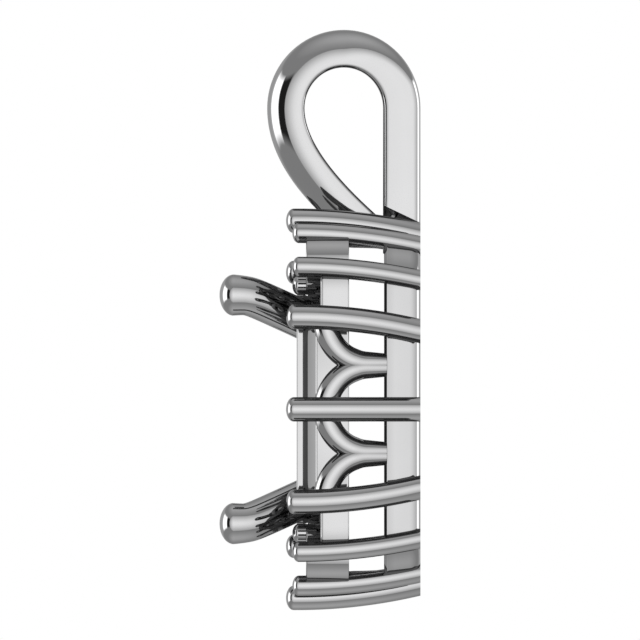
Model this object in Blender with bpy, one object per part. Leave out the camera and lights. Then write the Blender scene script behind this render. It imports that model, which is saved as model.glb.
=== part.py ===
"""A pendant setting for a cushion centre stone and a halo of twelve round accent stones, with no stones set.

It lies on its flat back: +Z is the front, where the prongs point, +Y runs up to the bail, and X goes across.
Everything is cast and soldered into one piece of white metal, so it is one solid.
"""

import math

import bmesh
import bpy
from mathutils import Matrix, Vector

MM = 0.001

# The halo's centre, placed so that the whole piece, bail included, is centred on the origin
HALO_CENTRE = Vector((0.0, -2.553 * MM, 0.0))

# Outer bars: round wires from the back plane to the accent stones' outer prong tips
SIDE_BAR_RADIUS = 0.35 * MM
SIDE_BAR_TIP = 3.84 * MM
SIDE_BAR_DISTANCE = 5.387 * MM
SIDE_BAR_PITCH = 2.643 * MM
CORNER_BAR_RADIUS = 0.29 * MM
CORNER_BAR_TIP = 3.66 * MM
CORNER_BAR_FAR = 5.04 * MM
CORNER_BAR_NEAR = 4.07 * MM
BAR_INWARD_SWEEP = 0.41 * MM
CORNER_BAR_SWEEP = 0.375 * MM
BEND_START = 3.51 * MM
BAR_SIDES = 8
BAR_STEPS = 5
WIRE_DOME_STEPS = 2

# Inner pins: the accent stones' inner prongs, which stand on the seats
SIDE_PIN_RADIUS = 0.33 * MM
SIDE_PIN_DISTANCE = 3.914 * MM
CORNER_PIN_RADIUS = 0.27 * MM
CORNER_PIN_OFFSET = 3.543 * MM
PIN_ROOT = 3.0 * MM
PIN_SIDES = 8

# Rails: two rounded-square rings that the bars stand against
FRONT_RAIL_HALF = 5.08 * MM
FRONT_RAIL_CORNER = 1.7 * MM
FRONT_RAIL_WIDTH = 1.25 * MM
FRONT_RAIL_BACK = 2.04 * MM
FRONT_RAIL_FRONT = 2.86 * MM
BACK_RAIL_HALF = 4.92 * MM
BACK_RAIL_CORNER = 1.5 * MM
BACK_RAIL_WIDTH = 0.8 * MM
BACK_RAIL_FRONT = 1.04 * MM
RAIL_BEVEL = 0.08 * MM
CORNER_STEPS = 6

# Accent seats: a plate with two drilled seats on each side, and a cup in each corner
PLATE_HALF_LENGTH = 2.75 * MM
PLATE_INNER = 2.8 * MM
PLATE_OUTER = FRONT_RAIL_HALF + 0.02 * MM
PLATE_BACK = 2.3 * MM
PLATE_FRONT = 3.23 * MM
PLATE_SLOPE_HEIGHT = 0.23 * MM
PLATE_SLOPE_WIDTH = 0.42 * MM
SIDE_SEAT_DISTANCE = 4.2 * MM
SIDE_SEAT_RADIUS = 0.42 * MM
CUP_OFFSET = 4.135 * MM
CUP_FRONT = 3.27 * MM
CUP_RADIUS = 0.78 * MM
CORNER_SEAT_RADIUS = 0.4 * MM
DRILL_RADIUS = 0.26 * MM
DRILL_SIDES = 10
SEAT_DEPTH = 0.5 * MM
DRILL_OVERRUN = 0.2 * MM

# Collar: the square rail under the centre stone, which carries the four centre prongs
COLLAR_HALF = 3.29 * MM
COLLAR_WIDTH = 0.75 * MM
COLLAR_CORNER = 0.95 * MM
COLLAR_BACK = 3.13 * MM
COLLAR_FRONT = 3.54 * MM

# Centre prongs: they lean out from the collar's corners, then stand straight
PRONG_RADIUS = 0.565 * MM
PRONG_HEAD_RADIUS = 0.59 * MM
PRONG_ROOT = 3.2 * MM
PRONG_ROOT_OFFSET = 2.49 * MM
PRONG_HEAD_OFFSET = 3.275 * MM
PRONG_BEND_START = 4.76 * MM
PRONG_BEND_END = 5.05 * MM
PRONG_BEND_FULLNESS = 0.03 * MM
PRONG_TIP = 5.74 * MM
PRONG_SIDES = 12
PRONG_DOME_STEPS = 3

# Arches: pairs of wires that spring from the bars at the front rail and meet in a stem on the back rail
ARCH_RADIUS = 0.35 * MM
ARCH_INSET = 0.34 * MM
ARCH_FRONT = 2.72 * MM
ARCH_REACH = 1.35 * MM
ARCH_STEM = 1.263 * MM
ARCH_MERGE = 1.57 * MM
STEM_TOP = 2.1 * MM
STEM_FOOT = 0.96 * MM
ARCH_SIDES = 8
ARCH_STEPS = 5
# An arch stops inside its stem, after this many degrees of its quarter ellipse, and gets thinner on the way
ARCH_TURN = 82
ARCH_THINNING = 0.12

# Bail: a band bent round an eye, its front leg landing on the front rail and its back leg flush with the back
EYE_CENTRE_Y = 8.6 * MM
EYE_CENTRE_Z = 2.19 * MM
BAIL_OUTER_HEIGHT = 2.242 * MM
BAIL_OUTER_DEPTH = 2.19 * MM
EYE_HALF_HEIGHT = 1.165 * MM
EYE_HALF_DEPTH = 1.12 * MM
BAIL_BACK_LEG = 1.07 * MM
BAIL_HALF_WIDTH = 1.3 * MM
BAIL_HALF_WIDTH_FOOT = 0.8 * MM
BAIL_SHOULDER_FRONT = 0.7 * MM
BAIL_SHOULDER_BACK = 0.1 * MM
BAIL_ARC_STEPS = 12
BAIL_LEG_STEPS = 5
FRONT_FOOT_Y = 4.72 * MM
FRONT_FOOT_OUTER_Z = 1.8 * MM
FRONT_FOOT_INNER_Z = 0.26 * MM
BACK_FOOT_Y = 4.45 * MM
BACK_TAPER_OUTER_Y = 5.4 * MM
BACK_TAPER_INNER_Y = 5.84 * MM
# How far along each edge of the front leg its bend is
OUTER_KNEE = 0.51
INNER_KNEE = 0.38

# Everything runs a little past the back plane before the back is cut flat
BAR_OVERRUN = 0.3 * MM
RAIL_OVERRUN = 0.2 * MM
BAIL_OVERRUN = 0.25 * MM


def clear_scene():
    for obj in list(bpy.data.objects):
        bpy.data.objects.remove(obj, do_unlink=True)


def white_metal():
    """Polished white gold."""
    material = bpy.data.materials.new("white_metal")
    material.use_nodes = True
    shader = material.node_tree.nodes["Principled BSDF"]
    shader.inputs["Base Color"].default_value = (0.82, 0.82, 0.83, 1.0)
    shader.inputs["Metallic"].default_value = 1.0
    shader.inputs["Roughness"].default_value = 0.12
    return material


def add_object(name, bm, is_helper=True):
    """Turns bm into an object at the halo's centre. A helper is only joined to the setting, or cuts it."""
    bmesh.ops.recalc_face_normals(bm, faces=bm.faces)
    mesh = bpy.data.meshes.new(name)
    bm.to_mesh(mesh)
    bm.free()
    obj = bpy.data.objects.new(name, mesh)
    obj.location = HALO_CENTRE
    bpy.context.scene.collection.objects.link(obj)
    if is_helper:
        obj.hide_render = True
        obj.display_type = "WIRE"
    return obj


def quarter_turns():
    """The halo is the same four times round its centre."""
    return [Matrix.Rotation(math.radians(90 * turn), 3, "Z") for turn in range(4)]


def bridge(bm, rings):
    """Skins closed rings in order, where a ring of one vertex is a pole, and caps the ends."""
    for near, far in zip(rings, rings[1:]):
        count = max(len(near), len(far))
        for i in range(count):
            j = (i + 1) % count
            corners = [near[i % len(near)], near[j % len(near)], far[j % len(far)], far[i % len(far)]]
            bm.faces.new(list(dict.fromkeys(corners)))
    for end in (rings[0], rings[-1]):
        if len(end) > 1:
            bm.faces.new(end)


def add_wire(bm, stations, side, sides):
    """A closed round wire through stations of (centre, radius). Its polygon has a corner towards side."""
    rings = []
    last = len(stations) - 1
    for i, (centre, radius) in enumerate(stations):
        along = (stations[min(i + 1, last)][0] - stations[max(i - 1, 0)][0]).normalized()
        across = (side - along * along.dot(side)).normalized()
        third = along.cross(across)
        if radius == 0:
            rings.append([bm.verts.new(centre)])
            continue
        angles = [2 * math.pi * k / sides for k in range(sides)]
        rings.append(
            [bm.verts.new(centre + radius * (math.cos(a) * across + math.sin(a) * third)) for a in angles]
        )
    bridge(bm, rings)


def dome(tip, along, radius, steps=WIRE_DOME_STEPS):
    """The stations of a hemispherical tip, from its pole to just before its full radius."""
    stations = [(tip, 0.0)]
    for step in range(1, steps + 1):
        angle = math.radians(90 * step / (steps + 1))
        stations.append((tip + along * radius * (1 - math.cos(angle)), radius * math.sin(angle)))
    return stations


def rounded_square(half, corner):
    """The points of a square outline with arcs for corners."""
    points = []
    for turn in range(4):
        for step in range(CORNER_STEPS + 1):
            angle = math.radians(90 * (turn + step / CORNER_STEPS))
            middle = Matrix.Rotation(math.radians(90 * turn), 2) @ Vector((half - corner, half - corner))
            points.append(middle + corner * Vector((math.cos(angle), math.sin(angle))))
    return points


def add_rail(bm, half, corner, section):
    """A rounded-square ring whose section is (distance in from the outline, height) pairs."""
    outlines = [rounded_square(half - inset, corner - inset) for inset, _ in section]
    columns = []
    for i in range(len(outlines[0])):
        corners = zip(outlines, section)
        columns.append([bm.verts.new((*outline[i], height)) for outline, (_, height) in corners])
    for near, far in zip(columns, columns[1:] + columns[:1]):
        for j in range(len(section)):
            k = (j + 1) % len(section)
            bm.faces.new((near[j], near[k], far[k], far[j]))


def sweep_share(height):
    """How much of its inward sweep a bar has made at this height, on an arc that is flat at its front end."""
    return max(0.0, (BEND_START - height) / BEND_START) ** 2


def add_bar(bm, front, inward, radius, tip):
    """A bar with a domed tip that bends inwards on its way to the back plane."""
    down = Vector((0, 0, -1))
    stations = dome(Vector((*front, tip)), down, radius)
    top, foot = tip - radius, -BAR_OVERRUN
    for step in range(BAR_STEPS + 1):
        height = top + (foot - top) * step / BAR_STEPS
        place = front + inward * sweep_share(height)
        stations.append((Vector((*place, height)), radius))
    add_wire(bm, stations, Vector((*front, 0)).normalized(), BAR_SIDES)


def outer_bars():
    """Twelve side bars and eight corner bars."""
    bm = bmesh.new()
    for turn in quarter_turns():
        spin = turn.to_2x2()
        for place in (-1, 0, 1):
            front = Vector((SIDE_BAR_DISTANCE, place * SIDE_BAR_PITCH))
            inward = Vector((-BAR_INWARD_SWEEP, -place * BAR_INWARD_SWEEP))
            add_bar(bm, spin @ front, spin @ inward, SIDE_BAR_RADIUS, SIDE_BAR_TIP)
        for front in ((CORNER_BAR_FAR, CORNER_BAR_NEAR), (CORNER_BAR_NEAR, CORNER_BAR_FAR)):
            inward = Vector((-CORNER_BAR_SWEEP, -CORNER_BAR_SWEEP))
            add_bar(bm, spin @ Vector(front), spin @ inward, CORNER_BAR_RADIUS, CORNER_BAR_TIP)
    return add_object("outer_bars", bm)


def inner_pins():
    """Twelve side pins and four corner pins, straight, with domed tips."""
    bm = bmesh.new()
    side_places = [(SIDE_PIN_DISTANCE, place * SIDE_BAR_PITCH) for place in (-1, 0, 1)]
    pins = [(place, SIDE_PIN_RADIUS, SIDE_BAR_TIP) for place in side_places]
    pins.append(((CORNER_PIN_OFFSET, CORNER_PIN_OFFSET), CORNER_PIN_RADIUS, CORNER_BAR_TIP))
    for turn in quarter_turns():
        for (x, y), radius, tip in pins:
            centre = turn @ Vector((x, y, tip))
            stations = dome(centre, Vector((0, 0, -1)), radius)
            for height in (tip - radius, PIN_ROOT):
                stations.append((Vector((centre.x, centre.y, height)), radius))
            add_wire(bm, stations, turn @ Vector((1, 0, 0)), PIN_SIDES)
    return add_object("inner_pins", bm)


def front_rail():
    """The ring that the accent seats stand on. The setting grows from it."""
    bm = bmesh.new()
    section = (
        (0.0, FRONT_RAIL_BACK),
        (0.0, FRONT_RAIL_FRONT - RAIL_BEVEL),
        (RAIL_BEVEL, FRONT_RAIL_FRONT),
        (FRONT_RAIL_WIDTH, FRONT_RAIL_FRONT),
        (FRONT_RAIL_WIDTH, FRONT_RAIL_BACK),
    )
    add_rail(bm, FRONT_RAIL_HALF, FRONT_RAIL_CORNER, section)
    return add_object("setting", bm, is_helper=False)


def back_rail():
    """The ring that lies on the wearer. Its outer wall sweeps inwards as the bars do."""
    bm = bmesh.new()

    def inset(height):
        return BAR_INWARD_SWEEP * (sweep_share(height) - sweep_share(BACK_RAIL_FRONT))

    section = (
        (inset(0) + RAIL_BEVEL, -RAIL_OVERRUN),
        (inset(0) + RAIL_BEVEL, 0.0),
        (inset(RAIL_BEVEL), RAIL_BEVEL),
        (inset(BACK_RAIL_FRONT / 2), BACK_RAIL_FRONT / 2),
        (inset(BACK_RAIL_FRONT - RAIL_BEVEL), BACK_RAIL_FRONT - RAIL_BEVEL),
        (RAIL_BEVEL, BACK_RAIL_FRONT),
        (BACK_RAIL_WIDTH, BACK_RAIL_FRONT),
        (BACK_RAIL_WIDTH, -RAIL_OVERRUN),
    )
    add_rail(bm, BACK_RAIL_HALF, BACK_RAIL_CORNER, section)
    return add_object("back_rail", bm)


def seat_plates():
    """A plate along each side, which slopes off to its outer edge, and a round cup in each corner."""
    bm = bmesh.new()
    section = (
        (PLATE_INNER, PLATE_BACK),
        (PLATE_OUTER, PLATE_BACK),
        (PLATE_OUTER, PLATE_FRONT - PLATE_SLOPE_HEIGHT),
        (PLATE_OUTER - PLATE_SLOPE_WIDTH, PLATE_FRONT),
        (PLATE_INNER, PLATE_FRONT),
    )
    for turn in quarter_turns():
        ends = []
        for end in (-PLATE_HALF_LENGTH, PLATE_HALF_LENGTH):
            ends.append([bm.verts.new(turn @ Vector((x, end, height))) for x, height in section])
        bridge(bm, ends)
        centre = turn @ Vector((CUP_OFFSET, CUP_OFFSET, 0))
        cup = (
            (Vector((centre.x, centre.y, FRONT_RAIL_BACK)), CUP_RADIUS),
            (Vector((centre.x, centre.y, CUP_FRONT)), CUP_RADIUS),
        )
        add_wire(bm, cup, turn @ Vector((1, 0, 0)), PRONG_SIDES)
    return add_object("seat_plates", bm)


def seat_drills():
    """Cutters for the seats: a cone at the front of each, and a straight hole on through the front rail."""
    bm = bmesh.new()
    half_pitch = SIDE_BAR_PITCH / 2
    seats = [(SIDE_SEAT_DISTANCE, place * half_pitch, PLATE_FRONT, SIDE_SEAT_RADIUS) for place in (-1, 1)]
    seats.append((CUP_OFFSET, CUP_OFFSET, CUP_FRONT, CORNER_SEAT_RADIUS))
    for turn in quarter_turns():
        for x, y, face, radius in seats:
            centre = turn @ Vector((x, y, 0))
            up = Vector((0, 0, 1))
            widening = (radius - DRILL_RADIUS) / SEAT_DEPTH
            stations = (
                (centre + up * (face + DRILL_OVERRUN), radius + widening * DRILL_OVERRUN),
                (centre + up * (face - SEAT_DEPTH), DRILL_RADIUS),
                (centre + up * (FRONT_RAIL_BACK - DRILL_OVERRUN), DRILL_RADIUS),
            )
            add_wire(bm, stations, turn @ Vector((1, 0, 0)), DRILL_SIDES)
    return add_object("seat_drills", bm)


def collar():
    """The rail round the centre stone's opening."""
    bm = bmesh.new()
    section = (
        (0.0, COLLAR_BACK),
        (0.0, COLLAR_FRONT),
        (COLLAR_WIDTH, COLLAR_FRONT),
        (COLLAR_WIDTH, COLLAR_BACK),
    )
    add_rail(bm, COLLAR_HALF, COLLAR_CORNER, section)
    return add_object("collar", bm)


def centre_prongs():
    """Four thick prongs on the collar's corners, with slightly swollen heads."""
    bm = bmesh.new()
    down = Vector((0, 0, -1))
    bend_height = (PRONG_BEND_START + PRONG_BEND_END) / 2
    slope = (PRONG_HEAD_OFFSET - PRONG_ROOT_OFFSET) / (bend_height - PRONG_ROOT)
    start_offset = PRONG_ROOT_OFFSET + slope * (PRONG_BEND_START - PRONG_ROOT)
    bend_offset = (start_offset + PRONG_HEAD_OFFSET) / 2 + PRONG_BEND_FULLNESS
    path = (
        (PRONG_HEAD_OFFSET, PRONG_TIP - PRONG_HEAD_RADIUS, PRONG_HEAD_RADIUS),
        (PRONG_HEAD_OFFSET, PRONG_BEND_END, PRONG_RADIUS),
        (bend_offset, bend_height, PRONG_RADIUS),
        (start_offset, PRONG_BEND_START, PRONG_RADIUS),
        (PRONG_ROOT_OFFSET, PRONG_ROOT, PRONG_RADIUS),
    )
    for turn in quarter_turns():
        tip = turn @ Vector((PRONG_HEAD_OFFSET, PRONG_HEAD_OFFSET, PRONG_TIP))
        stations = dome(tip, down, PRONG_HEAD_RADIUS, PRONG_DOME_STEPS)
        for offset, height, radius in path:
            stations.append((turn @ Vector((offset, offset, height)), radius))
        add_wire(bm, stations, turn @ Vector((1, -1, 0)).normalized(), PRONG_SIDES)
    return add_object("centre_prongs", bm)


def arch_point(turn, along, height):
    """A point on the gallery's wall, which stands a little inside the bars and sweeps inwards with them."""
    distance = SIDE_BAR_DISTANCE - ARCH_INSET - BAR_INWARD_SWEEP * sweep_share(height)
    return turn @ Vector((distance, along, height))


def arches(name, hand):
    """One wire of each pair, a quarter of an ellipse from a bar to the stem. The hands are +1 and -1."""
    bm = bmesh.new()
    for turn in quarter_turns():
        for stem in (-ARCH_STEM, ARCH_STEM):
            stations = []
            for step in range(ARCH_STEPS + 1):
                angle = math.radians(ARCH_TURN * step / ARCH_STEPS)
                along = stem - hand * ARCH_REACH * (1 - math.sin(angle))
                height = ARCH_MERGE + (ARCH_FRONT - ARCH_MERGE) * math.cos(angle)
                radius = ARCH_RADIUS * (1 - ARCH_THINNING * step / ARCH_STEPS)
                stations.append((arch_point(turn, along, height), radius))
            add_wire(bm, stations, turn @ Vector((1, 0, 0)), ARCH_SIDES)
    return add_object(name, bm)


def stems():
    """The short wire below each pair of arches."""
    bm = bmesh.new()
    for turn in quarter_turns():
        for stem in (-ARCH_STEM, ARCH_STEM):
            top = arch_point(turn, stem, STEM_TOP)
            foot = arch_point(turn, stem, STEM_FOOT)
            stations = dome(top, (foot - top).normalized(), ARCH_RADIUS)
            stations.append((arch_point(turn, stem, STEM_TOP - ARCH_RADIUS), ARCH_RADIUS))
            stations.append((foot, ARCH_RADIUS))
            add_wire(bm, stations, turn @ Vector((1, 0, 0)), ARCH_SIDES)
    return add_object("stems", bm)


def bail_stations():
    """(outer edge, inner edge, half width, shoulder) from foot to foot, edges in the (Y, Z) plane."""
    centre = Vector((EYE_CENTRE_Y, EYE_CENTRE_Z))
    stations = []
    # The front leg's two edges are curves that leave the ring straight down and lean towards the back
    outer_start = centre + Vector((0, BAIL_OUTER_DEPTH))
    inner_start = centre + Vector((0, EYE_HALF_DEPTH))
    outer_end = Vector((FRONT_FOOT_Y, FRONT_FOOT_OUTER_Z))
    inner_end = Vector((FRONT_FOOT_Y, FRONT_FOOT_INNER_Z))
    for step in range(BAIL_LEG_STEPS):
        share = 1 - step / BAIL_LEG_STEPS
        half = BAIL_HALF_WIDTH_FOOT if step == 0 else BAIL_HALF_WIDTH
        edges = []
        for start, end, reach in ((outer_start, outer_end, OUTER_KNEE), (inner_start, inner_end, INNER_KNEE)):
            knee = Vector((start.x + (end.x - start.x) * reach, start.y))
            edges.append((1 - share) ** 2 * start + 2 * share * (1 - share) * knee + share**2 * end)
        stations.append((*edges, half, BAIL_SHOULDER_FRONT))
    # Round the eye, a little taller than deep, the shoulders stay round over the first half, then sharpen
    for step in range(BAIL_ARC_STEPS + 1):
        share = step / BAIL_ARC_STEPS
        angle = math.radians(90 - 180 * share)
        outer = centre + Vector((BAIL_OUTER_HEIGHT * math.cos(angle), BAIL_OUTER_DEPTH * math.sin(angle)))
        inner = centre + Vector((EYE_HALF_HEIGHT * math.cos(angle), EYE_HALF_DEPTH * math.sin(angle)))
        sharpened = max(0.0, 2 * share - 1)
        shoulder = BAIL_SHOULDER_FRONT + (BAIL_SHOULDER_BACK - BAIL_SHOULDER_FRONT) * sharpened
        stations.append((outer, inner, BAIL_HALF_WIDTH, shoulder))
    # The back leg keeps its width down to a slanting line just above the back rail, and narrows below it
    ends = (
        (BACK_TAPER_OUTER_Y, BACK_TAPER_INNER_Y, BAIL_HALF_WIDTH),
        (BACK_FOOT_Y, BACK_FOOT_Y, BAIL_HALF_WIDTH_FOOT),
    )
    for outer_y, inner_y, half in ends:
        edges = (Vector((outer_y, -BAIL_OVERRUN)), Vector((inner_y, BAIL_BACK_LEG)))
        stations.append((*edges, half, BAIL_SHOULDER_BACK))
    return stations


def bail():
    """A band with flat sides and a flat inner face. Its outer shoulders are round, but for the back leg's."""
    bm = bmesh.new()
    rings = []
    for outer, inner, half, shoulder in bail_stations():
        outward = (outer - inner).normalized()
        # Where the shoulder's arc is halfway round, and how far that is from each face
        diagonal = shoulder * (1 - math.sqrt(0.5))
        right = (
            (half, inner),
            (half, outer - outward * shoulder),
            (half - diagonal, outer - outward * diagonal),
            (half - shoulder, outer),
        )
        left = [(-x, point) for x, point in reversed(right)]
        rings.append([bm.verts.new((x, point.x, point.y)) for x, point in (*right, *left)])
    bridge(bm, rings)
    return add_object("bail", bm)


def back_cutter():
    """A slab below the back plane, which leaves everything flush."""
    bm = bmesh.new()
    reach, depth = 30 * MM, 2 * MM
    placed = Matrix.Translation((0, 0, -depth / 2)) @ Matrix.Diagonal((reach, reach, depth, 1))
    bmesh.ops.create_cube(bm, size=1.0, matrix=placed)
    return add_object("back_cutter", bm)


def join(setting, other, operation="UNION"):
    modifier = setting.modifiers.new(other.name, "BOOLEAN")
    modifier.object = other
    modifier.operation = operation
    modifier.solver = "MANIFOLD"


clear_scene()
setting = front_rail()
setting.data.materials.append(white_metal())
for piece in (seat_plates(), collar(), inner_pins(), centre_prongs()):
    join(setting, piece)
join(setting, seat_drills(), "DIFFERENCE")
for piece in (back_rail(), arches("near_arches", 1), arches("far_arches", -1), stems(), bail(), outer_bars()):
    join(setting, piece)
join(setting, back_cutter(), "DIFFERENCE")
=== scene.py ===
"""An empty halo pendant setting in polished white gold, lying on its flat back in a small studio."""
import math

import bmesh
import bpy
from mathutils import Matrix, Vector


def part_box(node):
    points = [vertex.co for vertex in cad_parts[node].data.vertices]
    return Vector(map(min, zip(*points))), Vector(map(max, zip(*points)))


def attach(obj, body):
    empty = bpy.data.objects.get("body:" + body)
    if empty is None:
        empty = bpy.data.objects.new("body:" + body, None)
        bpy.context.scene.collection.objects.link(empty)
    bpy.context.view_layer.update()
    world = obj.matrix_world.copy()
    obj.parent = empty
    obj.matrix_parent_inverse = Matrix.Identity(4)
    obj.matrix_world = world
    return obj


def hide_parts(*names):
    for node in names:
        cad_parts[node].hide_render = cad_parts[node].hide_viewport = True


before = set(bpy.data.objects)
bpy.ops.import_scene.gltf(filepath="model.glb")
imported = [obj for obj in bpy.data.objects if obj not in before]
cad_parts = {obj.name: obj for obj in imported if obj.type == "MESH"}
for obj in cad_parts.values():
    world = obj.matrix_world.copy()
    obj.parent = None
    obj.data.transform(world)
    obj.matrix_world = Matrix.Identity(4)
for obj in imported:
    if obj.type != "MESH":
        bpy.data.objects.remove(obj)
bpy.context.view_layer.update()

# The back rail
# The rounded-square ring that lies on the wearer. It is cast with the rest in white gold, with a
# crowned outer wall that leans inwards to the back as the bars do, and it is buffed to a mirror.
MM = 0.001
# Lengths are in millimetres. Heights are from the back plane, and X and Y are from the halo's centre
setting_low, setting_high = (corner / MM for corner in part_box("setting"))
HALO_HALF = (setting_high.x - setting_low.x) / 2
HALO_PLACE = Vector((0, setting_low.y + HALO_HALF, 0))
SIDE_BAR_RADIUS = 0.35
SIDE_BAR_DISTANCE = HALO_HALF - SIDE_BAR_RADIUS
BAR_INWARD_SWEEP = 0.41
BEND_START = 3.51
BACK_RAIL_FRONT = 1.04
BACK_RAIL_HALF = 4.9
BACK_RAIL_CORNER = 1.5
BACK_RAIL_WIDTH = 0.8
RAIL_EDGE = 0.1
BACK_EDGE = 0.25
CHAMFER_HEIGHT = 0.09
CHAMFER_DEPTH = 0.05
CHAMFER_EDGE = 0.01
WALL_SHARES = (0.3, 0.5, 0.7, 0.85)
CORNER_STEPS = 14
EDGE_STEPS = 4
SHARP_ANGLE = 38
WHITE_GOLD = (0.62, 0.62, 0.624, 1.0)
POLISH = 0.045
# The polishing lines are a fine noise, stretched along the grain, which dents the metal
LINES_SCALE = 9000.0
LINES_DETAIL = 3.0
LINES_STRENGTH = 0.02
LINES_DEPTH = 0.004
# A coarser noise clouds the polish and the tone. Each changes over a range of the noise
CLOUDS_SCALE = 900.0
CLOUDS_DETAIL = 4.0
POLISH_RANGE = (0.3, 0.7)
POLISH_SHARES = (0.7, 1.5)
TONE_RANGE = (0.35, 0.65)
TONE_SHARES = (0.975, 1.0)


def feed(tree, socket, value):
    """Gives an input socket a value, or a link from an output socket."""
    if isinstance(value, bpy.types.NodeSocket):
        tree.links.new(value, socket)
    else:
        socket.default_value = value


def node(tree, kind, links=(), **settings):
    """One node of a tree. Links are (input, output socket or value) pairs."""
    made = tree.nodes.new(kind)
    for name, value in settings.items():
        setattr(made, name, value)
    for name, value in links:
        feed(tree, made.inputs[name], value)
    return made


def white_gold(name, grain):
    """Mirror-polished metal. The grain is how far its faint polishing lines are squeezed on each axis."""
    material = bpy.data.materials.new(name)
    material.use_nodes = True
    tree = material.node_tree
    place = node(tree, "ShaderNodeTexCoord").outputs["Object"]
    stretched = node(tree, "ShaderNodeMapping", (("Vector", place), ("Scale", grain))).outputs[0]
    line_inputs = (("Vector", stretched), ("Scale", LINES_SCALE), ("Detail", LINES_DETAIL))
    lines = node(tree, "ShaderNodeTexNoise", line_inputs).outputs["Fac"]
    cloud_inputs = (("Vector", place), ("Scale", CLOUDS_SCALE), ("Detail", CLOUDS_DETAIL))
    clouds = node(tree, "ShaderNodeTexNoise", cloud_inputs).outputs["Fac"]
    gloss = node(
        tree,
        "ShaderNodeMapRange",
        (
            ("Value", clouds),
            ("From Min", POLISH_RANGE[0]),
            ("From Max", POLISH_RANGE[1]),
            ("To Min", POLISH * POLISH_SHARES[0]),
            ("To Max", POLISH * POLISH_SHARES[1]),
        ),
    )
    tone = node(tree, "ShaderNodeValToRGB", (("Fac", clouds),))
    for element, position, share in zip(tone.color_ramp.elements, TONE_RANGE, TONE_SHARES):
        element.position = position
        element.color = [shade * share for shade in WHITE_GOLD[:3]] + [1.0]
    dent_inputs = (("Strength", LINES_STRENGTH), ("Distance", LINES_DEPTH * MM), ("Height", lines))
    dents = node(tree, "ShaderNodeBump", dent_inputs)
    shader = tree.nodes["Principled BSDF"]
    shader.inputs["Metallic"].default_value = 1.0
    tree.links.new(tone.outputs["Color"], shader.inputs["Base Color"])
    tree.links.new(gloss.outputs["Result"], shader.inputs["Roughness"])
    tree.links.new(dents.outputs["Normal"], shader.inputs["Normal"])
    return material


def sweep_share(height):
    """How much of its inward sweep a bar has made at this height: an arc that starts behind the tip."""
    return max(0.0, (BEND_START - height) / BEND_START) ** 2


def rounded_square(half, corner):
    """The points of a square outline with arcs for corners."""
    points = []
    for turn in range(4):
        middle = Matrix.Rotation(math.radians(90 * turn), 2) @ Vector((half - corner, half - corner))
        for step in range(CORNER_STEPS + 1):
            angle = math.radians(90 * (turn + step / CORNER_STEPS))
            points.append(middle + corner * Vector((math.cos(angle), math.sin(angle))))
    return points


def curve_point(start, knee, end, share):
    """A point on a curve that leaves its start towards the knee."""
    return (1 - share) ** 2 * start + 2 * share * (1 - share) * knee + share**2 * end


def soften(corners):
    """A closed outline of (x, y, rounding) corners, each rounded by a curve that starts that far away."""
    points = []
    for i, (x, y, rounding) in enumerate(corners):
        here = Vector((x, y))
        if rounding == 0:
            points.append(here)
            continue
        before, after = Vector(corners[i - 1][:2]), Vector(corners[(i + 1) % len(corners)][:2])
        start = here + (before - here).normalized() * rounding
        end = here + (after - here).normalized() * rounding
        for step in range(EDGE_STEPS + 1):
            points.append(curve_point(start, here, end, step / EDGE_STEPS))
    return points


def skin(bm, rings, is_loop=False):
    """Skins rings of vertices in order, and caps the ends unless the last ring meets the first."""
    pairs = list(zip(rings, rings[1:])) + ([(rings[-1], rings[0])] if is_loop else [])
    for near, far in pairs:
        for j in range(len(near)):
            k = (j + 1) % len(near)
            bm.faces.new((near[j], near[k], far[k], far[j]))
    if not is_loop:
        bm.faces.new(rings[0])
        bm.faces.new(rings[-1])


def square_ring(bm, half, corner, section):
    """A rounded-square ring. Its section is points of (distance in from the outline, height)."""
    outlines = [rounded_square(half - point.x, corner - point.x) for point in section]
    rings = []
    for i in range(len(outlines[0])):
        rings.append([bm.verts.new((*outline[i], point.y)) for outline, point in zip(outlines, section)])
    skin(bm, rings, is_loop=True)


def set_in_place(name, mesh, material):
    """Makes the mesh a finished piece: in metres, in its place, smooth, and riding with the setting."""
    mesh.name = name
    mesh.transform(Matrix.Scale(MM, 4) @ Matrix.Translation(HALO_PLACE))
    mesh.shade_smooth()
    mesh.set_sharp_from_angle(angle=math.radians(SHARP_ANGLE))
    mesh.materials.clear()
    mesh.materials.append(material)
    piece = bpy.data.objects.new(name, mesh)
    bpy.context.scene.collection.objects.link(piece)
    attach(piece, "root")
    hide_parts("setting")


def cast_piece(name, bm, material):
    """Closes a modelled shape, turns its faces outwards and sets it in place."""
    bmesh.ops.recalc_face_normals(bm, faces=bm.faces)
    mesh = bpy.data.meshes.new(name)
    bm.to_mesh(mesh)
    bm.free()
    set_in_place(name, mesh, material)


def back_wall(height):
    """How far in the back rail's crowned wall is at this height."""
    return BAR_INWARD_SWEEP * (sweep_share(height) - sweep_share(BACK_RAIL_FRONT))


buffed_gold = white_gold("buffed_white_gold", grain=(1.0, 1.0, 1.0))
wall_heights = [BACK_RAIL_FRONT * share for share in WALL_SHARES]
back_section = [(back_wall(0), 0.0, BACK_EDGE)]
back_section += [(back_wall(height), height, 0) for height in wall_heights]
back_section += [
    (0.0, BACK_RAIL_FRONT - CHAMFER_HEIGHT, CHAMFER_EDGE),
    (CHAMFER_DEPTH, BACK_RAIL_FRONT, CHAMFER_EDGE),
    (BACK_RAIL_WIDTH, BACK_RAIL_FRONT, RAIL_EDGE),
    (BACK_RAIL_WIDTH, 0.0, RAIL_EDGE),
]
shape = bmesh.new()
square_ring(shape, BACK_RAIL_HALF, BACK_RAIL_CORNER, soften(back_section))
cast_piece("back_rail", shape, buffed_gold)

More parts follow.
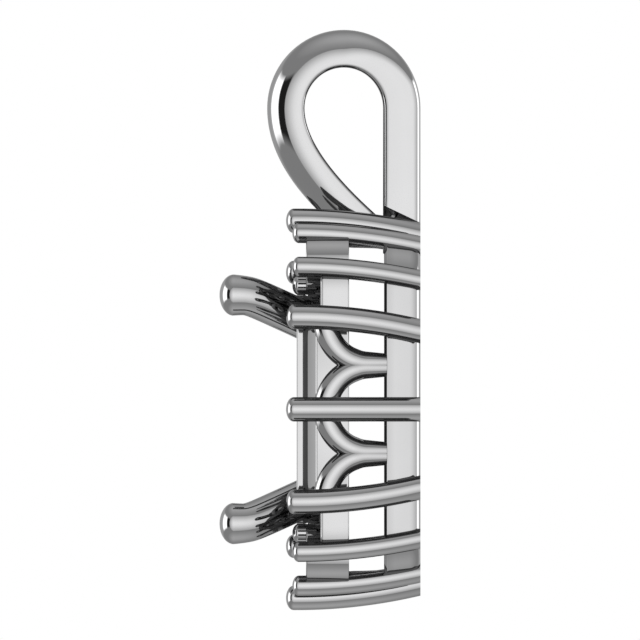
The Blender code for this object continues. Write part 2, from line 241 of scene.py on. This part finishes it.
# The front rail
# The ring that carries the accent seats. The same cast metal, with a soft edge to the front.
FRONT_RAIL_HALF = 5.05
FRONT_RAIL_CORNER = 1.7
FRONT_RAIL_WIDTH = 1.25
FRONT_RAIL_BACK = 2.04
FRONT_RAIL_FRONT = 2.86
front_section = [
    (0.0, FRONT_RAIL_BACK, RAIL_EDGE / 2),
    (0.0, FRONT_RAIL_FRONT, RAIL_EDGE),
    (FRONT_RAIL_WIDTH, FRONT_RAIL_FRONT, RAIL_EDGE),
    (FRONT_RAIL_WIDTH, FRONT_RAIL_BACK, RAIL_EDGE),
]
shape = bmesh.new()
square_ring(shape, FRONT_RAIL_HALF, FRONT_RAIL_CORNER, soften(front_section))
cast_piece("front_rail", shape, buffed_gold)

# The seat plates
# One plate along each side, cast on the front rail, which slopes off to its outer edge. Two seats are
# drilled through each, wider at the front where a stone's pavilion rests.
PLATE_HALF_LENGTH = 2.75
PLATE_INNER = 2.8
PLATE_OUTER = 5.06
PLATE_BACK = 2.1
PLATE_FRONT = 3.22
SLOPE_HEIGHT = 0.25
SLOPE_WIDTH = 0.5
SLOPE_EDGE = 0.04
PLATE_EDGE = 0.03
PLATE_EDGE_STEPS = 2
PLATE_EDGE_ANGLE = 30
SEAT_DISTANCE = 4.12
SEAT_RADIUS = 0.4
DRILL_RADIUS = 0.26
SEAT_DEPTH = 0.5
SIDE_BAR_PITCH = 2.643
DRILL_SIDES = 32
DRILL_OVERSHOOT = 1.0


def quarter_turns():
    """The turns that repeat a quarter of the halo round its centre."""
    return [Matrix.Rotation(math.radians(90 * turn), 4, "Z") for turn in range(4)]


def turned(bm, axis_place, profile, sides, is_loop=False):
    """A shape turned round an upright axis, from a profile of (radius, height) pairs."""
    rings = []
    for radius, height in profile:
        angles = [2 * math.pi * k / sides for k in range(sides)]
        spokes = [Vector((radius * math.cos(a), radius * math.sin(a), height)) for a in angles]
        rings.append([bm.verts.new(axis_place + spoke) for spoke in spokes])
    skin(bm, rings, is_loop)


def baked(obj):
    """The plain mesh that an object's modifiers make."""
    return bpy.data.meshes.new_from_object(obj.evaluated_get(bpy.context.evaluated_depsgraph_get()))


def drilled(body, drill):
    """Cuts one shape out of another, and returns what is left as a mesh."""
    objects = []
    for bm in (body, drill):
        bmesh.ops.recalc_face_normals(bm, faces=bm.faces)
        mesh = bpy.data.meshes.new("blank")
        bm.to_mesh(mesh)
        bm.free()
        objects.append(bpy.data.objects.new("blank", mesh))
        bpy.context.scene.collection.objects.link(objects[-1])
    blank, bit = objects
    cut = blank.modifiers.new("drill", "BOOLEAN")
    cut.operation = "DIFFERENCE"
    cut.solver = "EXACT"
    cut.object = bit
    bevel = blank.modifiers.new("polished_edge", "BEVEL")
    bevel.width = PLATE_EDGE
    bevel.segments = PLATE_EDGE_STEPS
    bevel.limit_method = "ANGLE"
    bevel.angle_limit = math.radians(PLATE_EDGE_ANGLE)
    mesh = baked(blank)
    for obj in objects:
        bpy.data.objects.remove(obj, do_unlink=True)
    return mesh


plates = bmesh.new()
bits = bmesh.new()
plate_section = soften(
    [
        (PLATE_INNER, PLATE_BACK, 0),
        (PLATE_OUTER, PLATE_BACK, 0),
        (PLATE_OUTER, PLATE_FRONT - SLOPE_HEIGHT, SLOPE_EDGE),
        (PLATE_OUTER - SLOPE_WIDTH, PLATE_FRONT, SLOPE_EDGE),
        (PLATE_INNER, PLATE_FRONT, 0),
    ]
)
widening = (SEAT_RADIUS - DRILL_RADIUS) / SEAT_DEPTH
bit_profile = (
    (DRILL_RADIUS, PLATE_BACK - DRILL_OVERSHOOT),
    (DRILL_RADIUS, PLATE_FRONT - SEAT_DEPTH),
    (SEAT_RADIUS + widening * DRILL_OVERSHOOT, PLATE_FRONT + DRILL_OVERSHOOT),
)
for turn in quarter_turns():
    ends = []
    for end in (-PLATE_HALF_LENGTH, PLATE_HALF_LENGTH):
        ends.append([plates.verts.new(turn @ Vector((point.x, end, point.y))) for point in plate_section])
    skin(plates, ends)
    for side in (-0.5, 0.5):
        seat = turn @ Vector((SEAT_DISTANCE, side * SIDE_BAR_PITCH, 0))
        turned(bits, seat, bit_profile, DRILL_SIDES)
set_in_place("seat_plates", drilled(plates, bits), buffed_gold)

# The corner cups
# A round cup in each corner for a smaller stone, cast with the front rail and drilled through.
CUP_OFFSET = 4.135
CUP_FRONT = 3.27
CUP_RADIUS = 0.78
CUP_MOUTH = 0.5
CUP_FOOT_EDGE = 0.03
CUP_RIM_EDGE = 0.05
CUP_SEAT_EDGE = 0.04
CUP_SIDES = 48
shape = bmesh.new()
cup_profile = soften(
    [
        (DRILL_RADIUS, FRONT_RAIL_BACK, 0),
        (CUP_RADIUS, FRONT_RAIL_BACK, CUP_FOOT_EDGE),
        (CUP_RADIUS, CUP_FRONT, CUP_RIM_EDGE),
        (CUP_MOUTH, CUP_FRONT, CUP_SEAT_EDGE),
        (DRILL_RADIUS, CUP_FRONT - SEAT_DEPTH, CUP_SEAT_EDGE),
    ]
)
for turn in quarter_turns():
    turned(shape, turn @ Vector((CUP_OFFSET, CUP_OFFSET, 0)), cup_profile, CUP_SIDES, is_loop=True)
cast_piece("corner_cups", shape, buffed_gold)

# The outer bars and the inner pins
# Lengths of round white-gold wire with domed tips. The bars stand outside the rails, twelve at the sides
# and eight thinner ones at the corners, and bend inwards to the back. The pins stand inside the seats.
SIDE_BAR_TIP = 3.84
CORNER_BAR_RADIUS = 0.29
CORNER_BAR_TIP = 3.66
CORNER_BAR_FAR = 5.04
CORNER_BAR_NEAR = 4.07
CORNER_BAR_SWEEP = 0.375
SIDE_PIN_RADIUS = 0.33
SIDE_PIN_DISTANCE = 3.914
CORNER_PIN_RADIUS = 0.27
CORNER_PIN_OFFSET = 3.543
PIN_ROOT = 3.0
DOME_SHARE = 0.62
WIRE_SIDES = 28
WIRE_RINGS = 56
RING_CROWDING = 2.0
MERGE_DISTANCE = 0.0002
drawn_gold = white_gold("drawn_white_gold", grain=(1.0, 1.0, 0.06))


def maths(tree, operation, first, second=0.0):
    """The result of one sum."""
    return node(tree, "ShaderNodeMath", ((0, first), (1, second)), operation=operation).outputs[0]


def open_tree(name, inputs):
    """A Geometry Nodes tree with these named inputs, and its group input and output nodes."""
    tree = bpy.data.node_groups.new(name, "GeometryNodeTree")
    tree.interface.new_socket("Places", in_out="INPUT", socket_type="NodeSocketGeometry")
    for title, kind in inputs:
        tree.interface.new_socket(title, in_out="INPUT", socket_type=kind)
    tree.interface.new_socket("Metalwork", in_out="OUTPUT", socket_type="NodeSocketGeometry")
    return tree, tree.nodes.new("NodeGroupInput").outputs, tree.nodes.new("NodeGroupOutput")


def round_wire(tree, curve, radius, sides):
    """A closed round wire along a curve."""
    outline = (("Resolution", sides), ("Radius", 1.0))
    circle = node(tree, "GeometryNodeCurvePrimitiveCircle", outline).outputs[0]
    inputs = (("Curve", curve), ("Profile Curve", circle), ("Scale", radius), ("Fill Caps", True))
    wire = node(tree, "GeometryNodeCurveToMesh", inputs).outputs[0]
    ends = (("Geometry", wire), ("Distance", MERGE_DISTANCE))
    return node(tree, "GeometryNodeMergeByDistance", ends).outputs[0]


def close_tree(tree, wires, metal, result):
    """Gives the wires their metal and ends the tree."""
    finished = node(tree, "GeometryNodeSetMaterial", (("Geometry", wires), ("Material", metal)))
    tree.links.new(finished.outputs[0], result.inputs[0])


def standing_wires_tree():
    """Stands a domed wire with its tip at every point, and sweeps each one inwards towards its foot."""
    inputs = [(title, "NodeSocketFloat") for title in ("Radius", "Dome", "Length", "Bend Start")]
    tree, given, result = open_tree("standing_wires", inputs + [("Metal", "NodeSocketMaterial")])
    line = node(tree, "GeometryNodeCurvePrimitiveLine")
    rings = node(tree, "GeometryNodeResampleCurve", (("Curve", line.outputs[0]), ("Count", WIRE_RINGS)))
    share = node(tree, "GeometryNodeSplineParameter").outputs["Factor"]
    # The rings crowd towards the tip, where the dome needs them
    depth = maths(tree, "MULTIPLY", given["Length"], maths(tree, "POWER", share, RING_CROWDING))
    placed = node(tree, "ShaderNodeCombineXYZ", (("Z", maths(tree, "MULTIPLY", depth, -1.0)),))
    hung = node(
        tree, "GeometryNodeSetPosition", (("Geometry", rings.outputs[0]), ("Position", placed.outputs[0]))
    )
    place = node(tree, "GeometryNodeInputPosition").outputs[0]
    # Along the hung line this is minus the depth below the tip, and on the standing wires the height
    height = node(tree, "ShaderNodeSeparateXYZ", (("Vector", place),)).outputs["Z"]
    domes_down = maths(tree, "DIVIDE", height, maths(tree, "MULTIPLY", given["Dome"], -1.0))
    to_rim = maths(tree, "SUBTRACT", 1.0, maths(tree, "MINIMUM", domes_down, 1.0))
    roundness = maths(tree, "SQRT", maths(tree, "SUBTRACT", 1.0, maths(tree, "POWER", to_rim, 2.0)))
    radius = maths(tree, "MULTIPLY", roundness, given["Radius"])
    wire = round_wire(tree, hung.outputs[0], radius, WIRE_SIDES)
    stood = node(tree, "GeometryNodeInstanceOnPoints", (("Points", given["Places"]), ("Instance", wire)))
    real = node(tree, "GeometryNodeRealizeInstances", (("Geometry", stood.outputs[0]),))
    inward = node(tree, "GeometryNodeInputNamedAttribute", (("Name", "inward"),), data_type="FLOAT_VECTOR")
    below = maths(tree, "MAXIMUM", maths(tree, "SUBTRACT", given["Bend Start"], height), 0.0)
    bend = maths(tree, "POWER", maths(tree, "DIVIDE", below, given["Bend Start"]), 2.0)
    offset = node(
        tree, "ShaderNodeVectorMath", ((0, inward.outputs[0]), ("Scale", bend)), operation="SCALE"
    )
    swept = node(
        tree, "GeometryNodeSetPosition", (("Geometry", real.outputs[0]), ("Offset", offset.outputs[0]))
    )
    close_tree(tree, swept.outputs[0], given["Metal"], result)
    return tree


def grown(tree, places, values):
    """The plain mesh that a tree makes on a mesh of places, with these input values."""
    carrier = bpy.data.objects.new("places", places)
    bpy.context.scene.collection.objects.link(carrier)
    modifier = carrier.modifiers.new("grow", "NODES")
    modifier.node_group = tree
    for socket in tree.interface.items_tree:
        if socket.in_out == "INPUT" and socket.name in values:
            modifier[socket.identifier] = values[socket.name]
    mesh = baked(carrier)
    bpy.data.objects.remove(carrier, do_unlink=True)
    return mesh


standing_wires = standing_wires_tree()


def wires_at(name, spots, radius, tip, foot):
    """Wires at these (x, y, inward sweep) spots of one quarter, repeated round the halo."""
    places = bpy.data.meshes.new("places")
    tops, sweeps = [], []
    for turn in quarter_turns():
        for x, y, sweep in spots:
            tops.append(turn @ Vector((x, y, tip)))
            sweeps.extend(turn.to_3x3() @ Vector((*sweep, 0)))
    places.from_pydata(tops, [], [])
    places.attributes.new("inward", "FLOAT_VECTOR", "POINT").data.foreach_set("vector", sweeps)
    values = {
        "Radius": radius,
        "Dome": radius * DOME_SHARE,
        "Length": tip - foot,
        "Bend Start": BEND_START,
        "Metal": drawn_gold,
    }
    set_in_place(name, grown(standing_wires, places, values), drawn_gold)


straight = (0.0, 0.0)
side_spots = []
for place in (-1, 0, 1):
    side_sweep = (-BAR_INWARD_SWEEP, -place * BAR_INWARD_SWEEP)
    side_spots.append((SIDE_BAR_DISTANCE, place * SIDE_BAR_PITCH, side_sweep))
corner_sweep = (-CORNER_BAR_SWEEP, -CORNER_BAR_SWEEP)
corner_spots = [
    (CORNER_BAR_FAR, CORNER_BAR_NEAR, corner_sweep),
    (CORNER_BAR_NEAR, CORNER_BAR_FAR, corner_sweep),
]
pin_spots = [(SIDE_PIN_DISTANCE, place * SIDE_BAR_PITCH, straight) for place in (-1, 0, 1)]
corner_pin_spots = [(CORNER_PIN_OFFSET, CORNER_PIN_OFFSET, straight)]
wires_at("side_bars", side_spots, SIDE_BAR_RADIUS, SIDE_BAR_TIP, 0.0)
wires_at("corner_bars", corner_spots, CORNER_BAR_RADIUS, CORNER_BAR_TIP, 0.0)
wires_at("side_pins", pin_spots, SIDE_PIN_RADIUS, SIDE_BAR_TIP, PIN_ROOT)
wires_at("corner_pins", corner_pin_spots, CORNER_PIN_RADIUS, CORNER_BAR_TIP, PIN_ROOT)

# The gallery arches
# Pairs of bent wires between the side bars. Each springs from a bar at the front rail, and the pair meet
# in one stem that is soldered to the back rail.
ARCH_RADIUS = 0.35
ARCH_FOOT_RADIUS = 0.26
ARCH_INSET = 0.34
ARCH_FRONT = 2.72
ARCH_REACH = 1.28
ARCH_PARTING = 0.075
ARCH_STEM = 1.263
ARCH_MERGE = 1.57
STEM_FOOT = 1.0
THINNING_START = 1.9
ARCH_SIDES = 28
ARCH_STEPS = 28
STEM_STEPS = 6


def wires_on_paths_tree():
    """Makes each line of edges a round wire, as thick at each point as its thickness says."""
    inputs = [("Sides", "NodeSocketInt"), ("Metal", "NodeSocketMaterial")]
    tree, given, result = open_tree("wires_on_paths", inputs)
    paths = node(tree, "GeometryNodeMeshToCurve", (("Mesh", given["Places"]),))
    thickness = node(tree, "GeometryNodeInputNamedAttribute", (("Name", "thickness"),), data_type="FLOAT")
    wire = round_wire(tree, paths.outputs[0], thickness.outputs[0], given["Sides"])
    real = node(tree, "GeometryNodeRealizeInstances", (("Geometry", wire),))
    close_tree(tree, real.outputs[0], given["Metal"], result)
    return tree


wires_on_paths = wires_on_paths_tree()


def wires_along(name, paths, sides, material):
    """Wires along paths, each a list of (point, thickness)."""
    points, edges, thicknesses = [], [], []
    for path in paths:
        first = len(points)
        for point, thickness in path:
            points.append(point)
            thicknesses.append(thickness)
        edges.extend((i, i + 1) for i in range(first, len(points) - 1))
    places = bpy.data.meshes.new("paths")
    places.from_pydata(points, edges, [])
    places.attributes.new("thickness", "FLOAT", "POINT").data.foreach_set("value", thicknesses)
    values = {"Sides": sides, "Metal": material}
    set_in_place(name, grown(wires_on_paths, places, values), material)


# (distance aside from the middle of the pair, height) down one wire: a quarter of an ellipse and the stem
arch_places = []
for step in range(ARCH_STEPS + 1):
    angle = math.radians(90 * step / ARCH_STEPS)
    aside = ARCH_PARTING + ARCH_REACH * (1 - math.sin(angle))
    arch_places.append((aside, ARCH_MERGE + (ARCH_FRONT - ARCH_MERGE) * math.cos(angle)))
for step in range(1, STEM_STEPS + 1):
    arch_places.append((ARCH_PARTING, ARCH_MERGE + (STEM_FOOT - ARCH_MERGE) * step / STEM_STEPS))
arch_paths = []
for turn in quarter_turns():
    for stem in (-ARCH_STEM, ARCH_STEM):
        for hand in (-1, 1):
            path = []
            for aside, height in arch_places:
                distance = SIDE_BAR_DISTANCE - ARCH_INSET - BAR_INWARD_SWEEP * sweep_share(height)
                thinned = max(0.0, (THINNING_START - height) / (THINNING_START - STEM_FOOT))
                radius = ARCH_RADIUS + (ARCH_FOOT_RADIUS - ARCH_RADIUS) * thinned
                path.append((turn @ Vector((distance, stem - hand * aside, height)), radius))
            arch_paths.append(path)
wires_along("gallery_arches", arch_paths, ARCH_SIDES, buffed_gold)

# The collar
# The square rail round the centre stone's opening. The stone's pavilion rests inside its front edge.
COLLAR_HALF = 3.29
COLLAR_CORNER = 0.95
COLLAR_WIDTH = 0.75
COLLAR_BACK = 3.13
COLLAR_FRONT = 3.54
COLLAR_EDGE = 0.04
COLLAR_WALL = 0.19
COLLAR_UNDERCUT = 0.08
collar_section = [
    (COLLAR_UNDERCUT, COLLAR_BACK, 0),
    (0.0, COLLAR_FRONT - COLLAR_WALL, COLLAR_EDGE / 2),
    (0.0, COLLAR_FRONT, COLLAR_EDGE),
    (COLLAR_WIDTH, COLLAR_FRONT, COLLAR_EDGE),
    (COLLAR_WIDTH, COLLAR_BACK, COLLAR_EDGE),
]
shape = bmesh.new()
square_ring(shape, COLLAR_HALF, COLLAR_CORNER, soften(collar_section))
cast_piece("collar", shape, buffed_gold)

# The centre prongs
# Four thick prongs soldered into the collar's corners. They lean out, bend upright and end in a swollen
# head that a setter would push over the stone.
PRONG_RADIUS = 0.56
PRONG_HEAD_RADIUS = 0.59
PRONG_ROOT = 3.2
PRONG_ROOT_OFFSET = 2.49
PRONG_HEAD_OFFSET = 3.275
PRONG_TIP = setting_high.z
PRONG_BEND = 4.907
PRONG_BEND_SOFTNESS = 0.2
HEAD_DOME = 0.41
HEAD_HEIGHT = 0.75
PRONG_SIDES = 40
PRONG_STEPS = 60
PRONG_CROWDING = 1.8


def prong_path():
    """(offset in X and in Y, height, radius) from the tip to the root, with more steps at the tip."""
    path = []
    lean = (PRONG_HEAD_OFFSET - PRONG_ROOT_OFFSET) / (PRONG_BEND - PRONG_ROOT)
    for step in range(PRONG_STEPS + 1):
        depth = (PRONG_TIP - PRONG_ROOT) * (step / PRONG_STEPS) ** PRONG_CROWDING
        height = PRONG_TIP - depth
        # A straight lean below the bend and an upright head above it, blended by a soft corner
        below = PRONG_BEND - height
        rounded = (below + math.sqrt(below**2 + PRONG_BEND_SOFTNESS**2)) / 2
        offset = PRONG_HEAD_OFFSET - lean * rounded
        # The head keeps its thickness down to half its height, and thins to the prong's below that
        swell = max(0.0, 1 - depth / HEAD_HEIGHT)
        radius = PRONG_RADIUS + (PRONG_HEAD_RADIUS - PRONG_RADIUS) * min(1.0, 2 * swell)
        in_dome = min(1.0, depth / HEAD_DOME)
        path.append((offset, height, radius * math.sqrt(1 - (1 - in_dome) ** 2)))
    return path


prong_paths = []
for turn in quarter_turns():
    path = [(turn @ Vector((offset, offset, height)), radius) for offset, height, radius in prong_path()]
    prong_paths.append(path)
wires_along("centre_prongs", prong_paths, PRONG_SIDES, buffed_gold)

# The bail
# A rigid band cast with the halo, bent round a drop-shaped eye for the chain. Its inner face is flat. Its
# outer shoulders are round, but crisper down the back leg. Both feet narrow to the rails.
EYE_FROM_HALO = 8.6
BAIL_OUTER_HEIGHT = setting_high.y - HALO_PLACE.y - EYE_FROM_HALO
BAIL_OUTER_DEPTH = 2.19
EYE_HALF_HEIGHT = 1.165
EYE_HALF_DEPTH = 1.12
HALF_WIDTH = 1.3
HALF_WIDTH_FOOT = 0.62
SHOULDER_FRONT = 0.85
SHOULDER_BACK = 0.23
SHOULDER_TURN = 70
SHOULDER_LIMIT = 0.95
INNER_EDGE = 0.12
INNER_EDGE_BACK = 0.18
INNER_EDGE_STEPS = 6
FRONT_FOOT = 4.72
FRONT_FOOT_OUTER = 1.8
FRONT_FOOT_INNER = 0.26
TAPER_FRONT = 5.45
BACK_FOOT = 4.45
TAPER_OUTER = 5.33
TAPER_INNER = 5.84
OUTER_KNEE = 0.51
INNER_KNEE = 0.38
LEG_STEPS = 26
RING_STEPS = 48
BACK_LEG_STEPS = 12
TAPER_STEPS = 8
SHOULDER_STEPS = 12


def narrowed(share):
    """The half width at a share of the way down a foot, which narrows like the side of a bowl."""
    return HALF_WIDTH - (HALF_WIDTH - HALF_WIDTH_FOOT) * math.sqrt(1 - (1 - share) ** 2)


def bail_stations():
    """(outer and inner (Y, Z) point, outer and inner rounding, half width) from front to back foot."""
    eye = Vector((EYE_FROM_HALO, BAIL_OUTER_DEPTH))
    outer_start, inner_start = eye + Vector((0, BAIL_OUTER_DEPTH)), eye + Vector((0, EYE_HALF_DEPTH))
    front_edges = (
        (outer_start, Vector((FRONT_FOOT, FRONT_FOOT_OUTER)), OUTER_KNEE),
        (inner_start, Vector((FRONT_FOOT, FRONT_FOOT_INNER)), INNER_KNEE),
    )
    stations = []
    for step in range(LEG_STEPS):
        share = 1 - step / LEG_STEPS
        edges = []
        for start, end, reach in front_edges:
            knee = Vector((start.x + (end.x - start.x) * reach, start.y))
            edges.append(curve_point(start, knee, end, share))
        down_foot = max(0.0, (TAPER_FRONT - edges[0].x) / (TAPER_FRONT - FRONT_FOOT))
        stations.append((*edges, SHOULDER_FRONT, INNER_EDGE, narrowed(down_foot)))
    for step in range(RING_STEPS + 1):
        angle = math.radians(90 - 180 * step / RING_STEPS)
        up, front = math.cos(angle), math.sin(angle)
        past_top = min(1.0, max(0.0, -angle / math.radians(SHOULDER_TURN)))
        shoulder = SHOULDER_FRONT + (SHOULDER_BACK - SHOULDER_FRONT) * past_top
        inner_edge = INNER_EDGE + (INNER_EDGE_BACK - INNER_EDGE) * past_top
        outer = eye + Vector((BAIL_OUTER_HEIGHT * up, BAIL_OUTER_DEPTH * front))
        inner = eye + Vector((EYE_HALF_HEIGHT * up, EYE_HALF_DEPTH * front))
        stations.append((outer, inner, shoulder, inner_edge, HALF_WIDTH))
    # The back leg keeps its width down to a slanting line, and its foot narrows below that
    back_top = stations[-1]
    for step in range(1, BACK_LEG_STEPS + TAPER_STEPS + 1):
        down_leg = min(1.0, step / BACK_LEG_STEPS)
        down_foot = max(0.0, (step - BACK_LEG_STEPS) / TAPER_STEPS)
        edges = []
        for start, taper in ((back_top[0], TAPER_OUTER), (back_top[1], TAPER_INNER)):
            place = start.x + (taper - start.x) * down_leg + (BACK_FOOT - taper) * down_foot
            edges.append(Vector((place, start.y)))
        stations.append((*edges, SHOULDER_BACK, INNER_EDGE_BACK, narrowed(down_foot)))
    return stations


shape = bmesh.new()
rings = []
for outer, inner, shoulder, inner_edge, half in bail_stations():
    outward = (outer - inner).normalized()
    shoulder = min(shoulder, half * SHOULDER_LIMIT)
    corners = ((inner_edge, inner, INNER_EDGE_STEPS), (shoulder, outer, SHOULDER_STEPS))
    right = []
    for radius, corner, steps in corners:
        inward = -outward if corner == outer else outward
        arc = []
        for step in range(steps + 1):
            angle = math.radians(90 * step / steps)
            across = half - radius * (1 - math.cos(angle))
            arc.append((across, corner + inward * radius * (1 - math.sin(angle))))
        right.extend(reversed(arc) if corner == inner else arc)
    left = [(-across, point) for across, point in reversed(right)]
    rings.append([shape.verts.new((across, point.x, point.y)) for across, point in right + left])
skin(shape, rings)
cast_piece("bail", shape, buffed_gold)

# The studio
# A pale floor that the pendant lies on, in a dome of soft light: a wide softbox behind the camera, a dark
# flag and a white box overhead, a white box below, and grey walls all round. The camera looks along the
# floor, rolled so that the bail is up.
FLOOR_REACH = 70
PAPER_TONE = 0.85
PAPER_ROUGHNESS = 0.9
FRAME_PIXELS = 640
PIXELS_PER_MM = 35.0
CAMERA_AWAY = 60
CLIP_NEAR = 1
CLIP_FAR = 1000
# The softbox reaches this far up, down and to each side of the camera's axis, in degrees
SOFTBOX_UP = 49
SOFTBOX_DOWN = 80
SOFTBOX_SIDE = 42
# Its tone by the share of that reach, from its middle to its rim
SOFTBOX_TONES = (
    (0, 1.226),
    (0.21, 1.165),
    (0.43, 1.005),
    (0.64, 0.834),
    (0.88, 0.625),
    (1, 0.552),
    (1.2, 0.5),
)
# The tone of what is round it, by the angle up from the camera's side
ROUND_TONES = (
    (-180, 0.36),
    (-150, 0.5),
    (-115, 0.6),
    (-111, 1.9),
    (-77, 1.9),
    (-73, 0.5),
    (0, 0.4),
    (44, 0.4),
    (48, 0.018),
    (76, 0.018),
    (80, 1.9),
    (117, 1.9),
    (121, 0.6),
    (132, 0.46),
    (150, 0.44),
    (180, 0.36),
)
# How far to the side the flag and the boxes reach, and the walls' tone by the angle to the side
ROUND_REACH = ((-90, 0.0), (-20, 0.0), (-13, 1.0), (22, 1.0), (28, 0.0), (90, 0.0))
WALL_TONES = ((0, 0.3), (45, 0.31), (52, 0.36), (60, 0.4), (75, 0.5), (90, 0.556))
# Light that comes by more bounces than this is dimmed by this share
INNER_DEPTH = 2.5
INNER_DIMMING = 0.8
PAPER_LIGHT = 1.0
# The softbox's edge, in shares of its reach
RIM = ((0, 1.0), (0.985, 1.0), (1.015, 0.0), (2, 0.0))


def grey(tone):
    """A grey of this tone as a colour."""
    return (tone, tone, tone, 1.0)


floor_mesh = bpy.data.meshes.new("floor")
floor_signs = ((-1, -1), (1, -1), (1, 1), (-1, 1))
floor_corners = [(x * FLOOR_REACH * MM, y * FLOOR_REACH * MM, 0) for x, y in floor_signs]
floor_mesh.from_pydata(floor_corners, [], [(0, 1, 2, 3)])
floor = bpy.data.objects.new("floor", floor_mesh)
bpy.context.scene.collection.objects.link(floor)
paper = bpy.data.materials.new("pale_paper")
paper.use_nodes = True
paper_inputs = paper.node_tree.nodes["Principled BSDF"].inputs
paper_inputs["Base Color"].default_value = grey(PAPER_TONE)
paper_inputs["Roughness"].default_value = PAPER_ROUGHNESS
floor_mesh.materials.append(paper)
floor.visible_glossy = False

room = bpy.data.worlds.new("room")
bpy.context.scene.world = room
room.use_nodes = True
room.node_tree.nodes.clear()


def tone_at(tree, place, stops):
    """A grey tone that goes from stop to stop, each a place and a tone, as the place does."""
    low, high = stops[0][0], stops[-1][0]
    share = node(tree, "ShaderNodeMapRange", (("Value", place), ("From Min", low), ("From Max", high)))
    ramp = node(tree, "ShaderNodeValToRGB", (("Fac", share.outputs["Result"]),))
    elements = ramp.color_ramp.elements
    while len(elements) < len(stops):
        elements.new(0.5)
    for element, (stop, tone) in zip(elements, stops):
        element.position = (stop - low) / (high - low)
        element.color = grey(tone)
    return ramp.outputs["Color"]


def mixed(tree, factor, first, second):
    """The first colour, changed to the second by the factor."""
    mix = node(tree, "ShaderNodeMix", data_type="RGBA")
    for name, value in (("Factor", factor), ("A", first), ("B", second)):
        feed(tree, next(s for s in mix.inputs if s.name == name and s.enabled), value)
    return next(s for s in mix.outputs if s.enabled)


dome = room.node_tree
direction = node(dome, "ShaderNodeTexCoord").outputs["Generated"]
axes = node(dome, "ShaderNodeSeparateXYZ", (("Vector", direction),)).outputs
upward = maths(dome, "DEGREES", maths(dome, "ARCTAN2", axes["Z"], axes["X"]))
leaning = maths(dome, "DEGREES", maths(dome, "ARCSINE", axes["Y"]))
sideways = maths(dome, "ABSOLUTE", leaning)
above = maths(dome, "DIVIDE", maths(dome, "MAXIMUM", upward, 0.0), SOFTBOX_UP)
below = maths(dome, "DIVIDE", maths(dome, "MINIMUM", upward, 0.0), SOFTBOX_DOWN)
along = maths(dome, "POWER", maths(dome, "SUBTRACT", above, below), 2.0)
across = maths(dome, "POWER", maths(dome, "DIVIDE", sideways, SOFTBOX_SIDE), 2.0)
from_middle = maths(dome, "SQRT", maths(dome, "ADD", along, across))
walls = tone_at(dome, sideways, WALL_TONES)
round_it = mixed(dome, tone_at(dome, leaning, ROUND_REACH), walls, tone_at(dome, upward, ROUND_TONES))
light = mixed(dome, tone_at(dome, from_middle, RIM), round_it, tone_at(dome, from_middle, SOFTBOX_TONES))
path = node(dome, "ShaderNodeLightPath").outputs
# What reaches the metal by way of other metal is dimmed, so that the crevices are dark
is_inner = maths(dome, "GREATER_THAN", path["Ray Depth"], INNER_DEPTH)
dimmed = mixed(dome, is_inner, light, mixed(dome, INNER_DIMMING, light, grey(0.0)))
# The paper has a white light of its own, so that it stays pale beside the flag and the dark walls
on_paper = mixed(dome, path["Is Diffuse Ray"], dimmed, grey(PAPER_LIGHT))
shown = mixed(dome, path["Is Camera Ray"], on_paper, grey(1.0))
glow = node(dome, "ShaderNodeBackground", (("Color", shown),))
node(dome, "ShaderNodeOutputWorld", (("Surface", glow.outputs["Background"]),))

lens = bpy.data.cameras.new("camera")
lens.type = "ORTHO"
lens.ortho_scale = FRAME_PIXELS / PIXELS_PER_MM * MM
lens.clip_start = CLIP_NEAR * MM
lens.clip_end = CLIP_FAR * MM
camera = bpy.data.objects.new("camera", lens)
bpy.context.scene.collection.objects.link(camera)
middle = (setting_low + setting_high) / 2 * MM
camera.location = middle + Vector((CAMERA_AWAY * MM, 0, 0))
# It looks towards -X, and the bail's way, +Y, is up
looking = Matrix(((0, 0, 1), (0, 1, 0), (-1, 0, 0)))
camera.rotation_euler = looking.to_euler()
bpy.context.scene.camera = camera
bpy.context.scene.view_settings.view_transform = "Standard"
